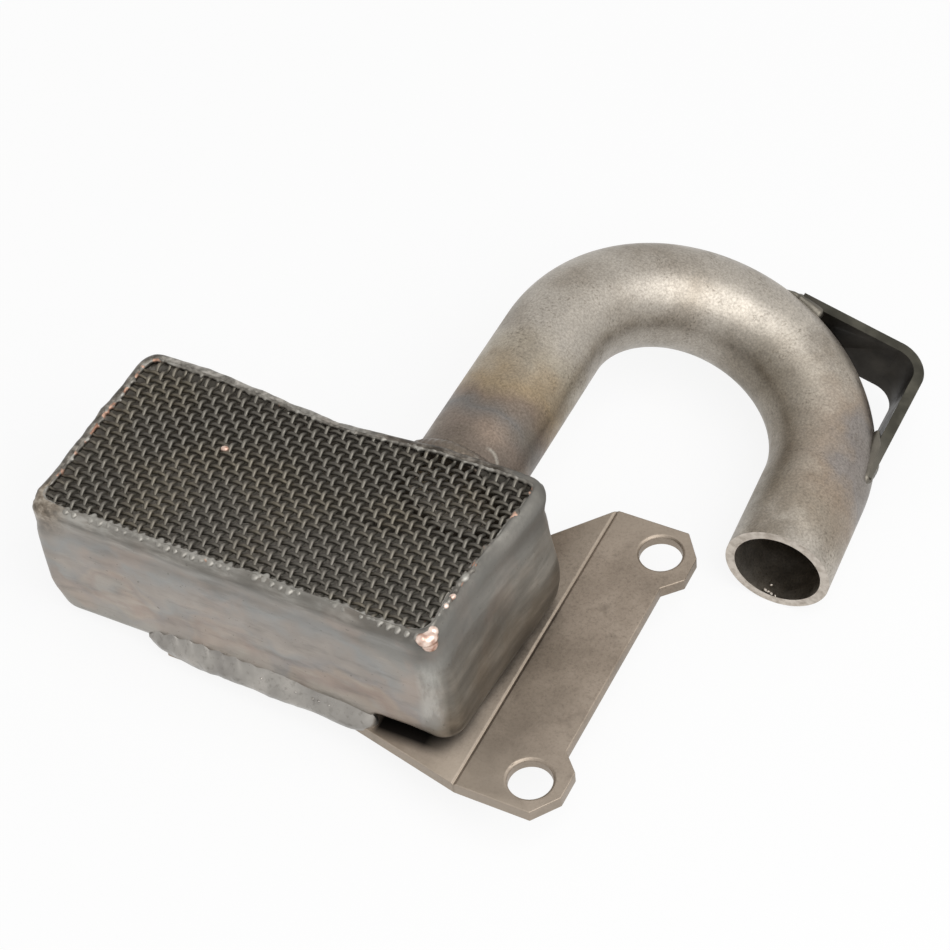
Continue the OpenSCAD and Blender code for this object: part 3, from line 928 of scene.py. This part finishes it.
def bent_tube():
    """A ring of wall drawn out along the leg, spun round the bend and drawn out again to the mouth."""
    bm = bmesh.new()
    face_y = Matrix.Rotation(math.pi / 2, 4, "X")
    for radius in (TUBE_R, TUBE_R - TUBE_WALL):
        bmesh.ops.create_circle(bm, segments=96, radius=radius, matrix=face_y)
    bmesh.ops.bridge_loops(bm, edges=bm.edges[:])
    bmesh.ops.translate(bm, vec=(-BEND_R, -LEG_L - LEG_IN_WALL, 0), verts=bm.verts)
    front = bm.faces[:]
    leg_steps, bend_steps, end_steps = 16, 90, 8

    def draw_out(faces, vec):
        made = bmesh.ops.extrude_face_region(bm, geom=faces)["geom"]
        bmesh.ops.translate(bm, vec=vec, verts=[g for g in made if isinstance(g, bmesh.types.BMVert)])
        return [g for g in made if isinstance(g, bmesh.types.BMFace)]

    for _ in range(leg_steps):
        front = draw_out(front, Vector((0, (LEG_L + LEG_IN_WALL) / leg_steps, 0)))
    spun = bmesh.ops.spin(bm, geom=front, cent=(0, 0, 0), axis=(0, 0, -1), angle=BEND_TURN,
                          steps=bend_steps, use_merge=False)
    front = [g for g in spun["geom_last"] if isinstance(g, bmesh.types.BMFace)]
    heading = Matrix.Rotation(-BEND_TURN, 3, "Z") @ Vector((0, 1, 0))
    for _ in range(end_steps):
        front = draw_out(front, heading * (END_L / end_steps))
    for face in front:
        face.material_index = 1
    bmesh.ops.remove_doubles(bm, verts=bm.verts, dist=0.001)
    bmesh.ops.recalc_face_normals(bm, faces=bm.faces)
    for face in bm.faces:
        if is_bore(face):
            face.material_index = 2
    bmesh.ops.transform(bm, matrix=BEND_FRAME, verts=bm.verts)
    return bm


finish_piece("bent_tube", bent_tube(), [TUBE_STEEL, CUT_RING, BORE],
             ["suction_tube"], sharp=40)


def mouth_burr():
    """Crumbs of swarf on the lower edge of the mouth and just inside it."""
    bm = bmesh.new()
    for x, z, inside, size in (
        (16.4, -8.0, 0.0, 0.34), (16.9, -8.4, 0.1, 0.26), (17.5, -8.5, 0.0, 0.3),
        (18.2, -8.9, 0.1, 0.24), (16.9, -8.2, 1.5, 0.24),
    ):
        blob(bm, (x, MOUTH_Y + inside, z), 40 * x, (1.3 * size, 0.7 * size, size))
    return bm


burr = finish_piece("mouth_burr", mouth_burr(), [CUT_RING])
melt_together(burr, 0.07, 1)


# Plate, strap and welds


def dressed_copy(name, node, finish, break_mm):
    """A CAD solid with its sharp edges broken."""
    bm = copy_of_node(node)
    bmesh.ops.dissolve_limit(bm, angle_limit=math.radians(0.5), verts=bm.verts, edges=bm.edges)
    piece = finish_piece(name, bm, [finish], [node], sharp=30)
    edge = piece.modifiers.new("broken_edges", "BEVEL")
    edge.width = break_mm * MM
    edge.segments = 2
    edge.limit_method = "ANGLE"
    edge.angle_limit = math.radians(35)
    edge.use_clamp_overlap = True
    edge.harden_normals = True
    bake_modifiers(piece)


dressed_copy("bolt_plate", "mounting_plate", PLATE_STEEL, 0.2)
dressed_copy("tube_strap", "support_strap", STRAP_STEEL, 0.15)


def scales(run, across, pitch, height):
    """Height of a row of overlapping scales with curved edges."""
    step = (run + 0.25 * across * across) / pitch
    return height * (math.cos(2 * math.pi * (step % 1.0) ** 0.6) - 0.2)


def collar_weld():
    """The weld round the tube at the box: a ring of overlapping lumps."""
    bm = bmesh.new()
    for i in range(COLLAR_LUMPS):
        turn = 2 * math.pi * i / COLLAR_LUMPS
        ring = Matrix.Translation((PORT_X, BOX_HIGH.y, PORT_Z)) @ Matrix.Rotation(turn, 4, "Y")
        size = 1 + 0.12 * waver((10 * math.sin(turn), 10 * math.cos(turn), 0), 5, 4)
        blob(bm, (0, 0.4, TUBE_R + 0.6), 0, [half * size for half in COLLAR_LUMP], 2, ring)
    return bm


def tube_top(z):
    """How far the outer side of the bend stands from the bend's centre, at a height above its plane."""
    return BEND_R + math.sqrt(TUBE_R ** 2 - z * z)


def strap_meets_tube(z):
    """Where the leaning outer face of the strap's crown leg runs into the tube, in the bend's frame."""
    along = math.sqrt(tube_top(z) ** 2 - CROWN_FACE ** 2)
    x, y = Matrix.Rotation(CROWN_LEAN, 2) @ Vector((along, CROWN_FACE))
    return x, y, z


def bead(bm, corners, radius):
    """A weld bead through points of the bend's frame, rippled and thinner at its ends."""
    line = []
    for a, b in zip(corners, corners[1:]):
        count = max(1, round((Vector(b) - Vector(a)).length / 0.4))
        line += [Vector(a).lerp(Vector(b), i / count) for i in range(count)]
    for i, p in enumerate(line):
        fullness = 0.6 + 0.4 * math.sin(math.pi * (i + 0.5) / len(line)) ** 0.5
        size = radius * fullness * (1 + 0.08 * math.sin(1.7 * i))
        blob(bm, p, 0, (size, size, size), 2, BEND_FRAME)


def run_of_lumps(bm, stops, steps):
    """A smooth tapering run of lumps through stops of place, width and height in the bend's frame."""
    for a, b in zip(stops, stops[1:]):
        heading = math.atan2(b[1] - a[1], b[0] - a[0])
        for i in range(steps):
            x, y, z, across, high = (u + (v - u) * i / steps for u, v in zip(a, b))
            blob(bm, (x, y, z), heading, (0.9, across, high), 2, BEND_FRAME)


def crown_weld():
    """The weld at the strap's end on the crown: a bead across it, a filled end, a fillet on each edge."""
    bm = bmesh.new()
    heights = [6.4 - 0.7 * i for i in range(17)]
    proud = 0.3
    bead(bm, [
        (CROWN_BEAD_X, math.sqrt((tube_top(z) + proud) ** 2 - CROWN_BEAD_X ** 2), z) for z in heights
    ], 1.15)
    coped = [strap_meets_tube(4.2 - 0.6 * i) for i in range(15)]
    bead(bm, coped, 0.85)
    for across in (8.2, 9.0):
        filled = [z for x, y, z in coped if x > across]
        bead(bm, [(across, math.sqrt(tube_top(z) ** 2 - across ** 2), z) for z in filled], 0.95)
    run_of_lumps(bm, [
        (3.2, 33.1, 5.0, 0.35, 1.0), (6.0, 33.2, 5.4, 0.8, 1.6),
        (9.0, 33.0, 5.6, 1.25, 1.5), (12.0, 32.6, 5.6, 1.6, 1.4),
    ], 10)
    run_of_lumps(bm, [(CROWN_BEAD_X, 34.0, -4.2, 0.9, 1.1), (12.8, 33.2, -4.2, 0.9, 1.0)], 14)
    return bm


def side_weld():
    """The weld at the strap's other end: a bead where its face meets the tube, a fillet on its edge."""
    bm = bmesh.new()
    heights = [5.5 - 0.515 * i for i in range(21)]
    bead(bm, [(SIDE_FACE, math.sqrt(tube_top(z) ** 2 - SIDE_FACE ** 2), z) for z in heights], 0.8)
    run_of_lumps(bm, [
        (31.3, 15.2, 5.3, 0.6, 1.4), (31.9, 13.0, 5.6, 1.3, 1.5), (32.5, 10.0, 5.6, 1.5, 1.4),
        (32.9, 7.0, 5.5, 1.3, 1.5), (33.0, 5.0, 5.4, 1.2, 1.5), (33.0, 2.5, 4.6, 0.4, 0.9),
    ], 10)
    return bm


for name, shape, finish, node in (
    ("collar_weld", collar_weld(), TUBE_STEEL, "tube_weld"),
    ("crown_weld", crown_weld(), STRAP_WELD, "strap_crown_weld"),
    ("side_weld", side_weld(), STRAP_WELD, "strap_side_weld"),
):
    melt_together(finish_piece(name, shape, [finish], [node]), 0.2, 4)


def plate_weld(ends, wall_y, outward, blunt):
    """A weld bead along the box's foot: a rippled rod, run out at its ends, lower at the right one."""
    start, end = ends
    length = end - start
    bm = straight_rod(length, 1, 32, 150)
    for v in bm.verts:
        share = 2 * v.co.x / length
        body = math.sqrt(max(0.004, 1 - abs(share) ** (4 if share < 0 else blunt)))
        body *= 1 + 0.14 * waver((v.co.x, 0, 0), 7, 4)
        rippled = ease(0.6, -0.5, share) * ease(-0.8, 0.2, v.co.z)
        body += 0.08 * scales(v.co.x, v.co.z * 2.4, 3.1, 1.0) * rippled
        body += 0.04 * waver(v.co, 1.6, 9)
        v.co.y *= PLATE_WELD_OUT * body * (1 - 0.8 * max(0.0, v.co.z) ** 1.5)
        down = PLATE_WELD_DOWN + 1.2 * ease(0.0, -0.9, share)
        v.co.z *= (PLATE_WELD_UP if v.co.z > 0 else down) * body
        v.co.z -= PLATE_WELD_SLOPE * share
    middle = ((start + end) / 2, wall_y - outward * 0.3, PLATE_WELD_Z)
    bmesh.ops.translate(bm, vec=middle, verts=bm.verts)
    for _ in range(7):
        run = chance.uniform(-0.8, 0.8)
        spot = ((start + end + run * length) / 2, wall_y + outward * 0.9, 5.2 - PLATE_WELD_SLOPE * run)
        blob(bm, spot, 0, (0.3, 0.3, 0.3))
    return bm


for name, shape, node in (
    ("front_weld", plate_weld(FRONT_WELD_X, BOX_LOW.y, -1, 12), "front_plate_weld"),
    ("back_weld", plate_weld(BACK_WELD_X, BOX_HIGH.y + 0.2, 1, 4), "back_plate_weld"),
):
    finish_piece(name, shape, [WELD], [node])


# Camera, floor and light


def photo_camera():
    """The camera, where the photograph's own stood and turned the same way."""
    right = Vector((0.88951697, 0.45003091, -0.0789413))
    up = Vector((-0.28997913, 0.68957262, 0.66362769))
    back = right.cross(up)
    data = bpy.data.cameras.new("photo_camera")
    data.sensor_width = 36
    data.lens = 97.59
    data.clip_start = 0.01
    data.clip_end = 50
    camera = bpy.data.objects.new("photo_camera", data)
    scene.collection.objects.link(camera)
    turn = Matrix((right, up, back)).transposed().to_4x4()
    camera.matrix_world = Matrix.Translation(CAMERA_AT * MM) @ turn
    scene.camera = camera


def white_to_the_eye(tree, plain, white):
    """Shows white to the camera and in reflections, and the plain shader to all other light."""
    path = tree.nodes.new("ShaderNodeLightPath")
    seen = path.outputs["Is Camera Ray"]
    for ray in ("Is Glossy Ray", "Is Transmission Ray"):
        either = tree.nodes.new("ShaderNodeMath")
        either.operation = "MAXIMUM"
        tree.links.new(seen, either.inputs[0])
        tree.links.new(path.outputs[ray], either.inputs[1])
        seen = either.outputs[0]
    mix = tree.nodes.new("ShaderNodeMixShader")
    tree.links.new(seen, mix.inputs[0])
    tree.links.new(plain, mix.inputs[1])
    tree.links.new(white, mix.inputs[2])
    return mix.outputs[0]


FLOOR_TILT = math.radians(7.13)
FLOOR_DROP = -8.66 * MM
FADE_FROM = 0.15
FADE_TO = 0.6
NEAR_GLOW = 0.88


def pale_floor():
    """The table that the tube's mouth and the plate's far edge lean on, fading to white far off."""
    bm = bmesh.new()
    bmesh.ops.create_grid(bm, x_segments=1, y_segments=1, size=3.0)
    bmesh.ops.translate(bm, vec=(0, 0, FLOOR_DROP), verts=bm.verts)
    bmesh.ops.rotate(bm, cent=(0, 0, 0), matrix=Matrix.Rotation(FLOOR_TILT, 3, "Y"), verts=bm.verts)
    mesh = bpy.data.meshes.new("pale_floor")
    bm.to_mesh(mesh)
    bm.free()
    floor = bpy.data.objects.new("pale_floor", mesh)
    scene.collection.objects.link(floor)
    material = bpy.data.materials.new("pale_floor")
    material.use_nodes = True
    tree = material.node_tree
    tree.nodes.clear()
    plain = tree.nodes.new("ShaderNodeBsdfDiffuse")
    plain.inputs["Color"].default_value = (0.9, 0.9, 0.9, 1)
    glow = tree.nodes.new("ShaderNodeEmission")
    glow.inputs["Color"].default_value = (1, 1, 1, 1)
    both = tree.nodes.new("ShaderNodeMixShader")
    place = tree.nodes.new("ShaderNodeTexCoord").outputs["Object"]
    away = tree.nodes.new("ShaderNodeVectorMath")
    away.operation = "LENGTH"
    tree.links.new(place, away.inputs[0])
    fade = tree.nodes.new("ShaderNodeMapRange")
    fade.inputs["From Min"].default_value = FADE_FROM
    fade.inputs["From Max"].default_value = FADE_TO
    fade.inputs["To Min"].default_value = NEAR_GLOW
    fade.inputs["To Max"].default_value = 1.0
    tree.links.new(away.outputs["Value"], fade.inputs["Value"])
    tree.links.new(fade.outputs[0], both.inputs[0])
    tree.links.new(plain.outputs[0], both.inputs[1])
    tree.links.new(glow.outputs[0], both.inputs[2])
    out = tree.nodes.new("ShaderNodeOutputMaterial")
    tree.links.new(white_to_the_eye(tree, plain.outputs[0], both.outputs[0]), out.inputs[0])
    mesh.materials.append(material)


def studio_light():
    """A soft white room and one round lamp from the right."""
    world = bpy.data.worlds.new("studio")
    scene.world = world
    world.use_nodes = True
    tree = world.node_tree
    tree.nodes.clear()
    soft = tree.nodes.new("ShaderNodeBackground")
    soft.inputs["Strength"].default_value = 0.45
    white = tree.nodes.new("ShaderNodeBackground")
    white.inputs["Strength"].default_value = 1.0
    for node in (soft, white):
        node.inputs["Color"].default_value = (1, 1, 1, 1)
    out = tree.nodes.new("ShaderNodeOutputWorld")
    tree.links.new(white_to_the_eye(tree, soft.outputs[0], white.outputs[0]), out.inputs[0])
    aim = Vector((-0.03, 0.03, 0.01))
    way = Vector((0.60, -0.22, 0.77))
    distance = 0.65
    data = bpy.data.lights.new("key", "AREA")
    data.shape = "DISK"
    data.size = 0.8
    data.energy = 3.6
    lamp = bpy.data.objects.new("key", data)
    scene.collection.objects.link(lamp)
    lamp.location = aim + way.normalized() * distance
    lamp.rotation_mode = "QUATERNION"
    lamp.rotation_quaternion = (aim - lamp.location).to_track_quat("-Z", "Y")


photo_camera()
pale_floor()
studio_light()
scene.view_settings.view_transform = "Standard"
